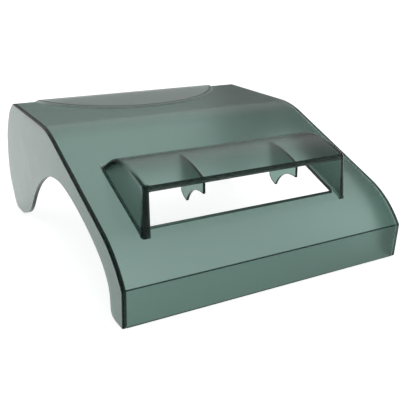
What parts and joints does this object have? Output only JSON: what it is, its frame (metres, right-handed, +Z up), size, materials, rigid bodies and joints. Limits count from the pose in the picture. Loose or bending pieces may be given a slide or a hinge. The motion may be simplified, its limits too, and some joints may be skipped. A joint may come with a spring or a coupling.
{
  "type": "roof vent cover",
  "caption": "Smoked translucent plastic roof vent cover: a sloping shell on arched side cheeks, with a hooded window in the slope and a raised finger pad at the back.",
  "frame": {"origin": "on the resting plane, under the middle of the overall box", "axes": "+Z up, -Y towards the low front skirt, +X to the right seen from the front; the hood sits 9 mm to the left of x = 0"},
  "size_m": [0.3, 0.3858, 0.1395],
  "materials": {
    "smoked_plastic": "gloss, translucent grey-green smoke tint"
  },
  "bodies": {
    "root": {"top_shell": "smoked_plastic", "front_skirt": "smoked_plastic", "left_cheek": "smoked_plastic", "right_cheek": "smoked_plastic", "finger_pad": "smoked_plastic", "hood_roof": "smoked_plastic", "hood_left_wall": "smoked_plastic", "hood_right_wall": "smoked_plastic", "hood_left_rib": "smoked_plastic", "hood_right_rib": "smoked_plastic"}
  },
  "joints": []
}
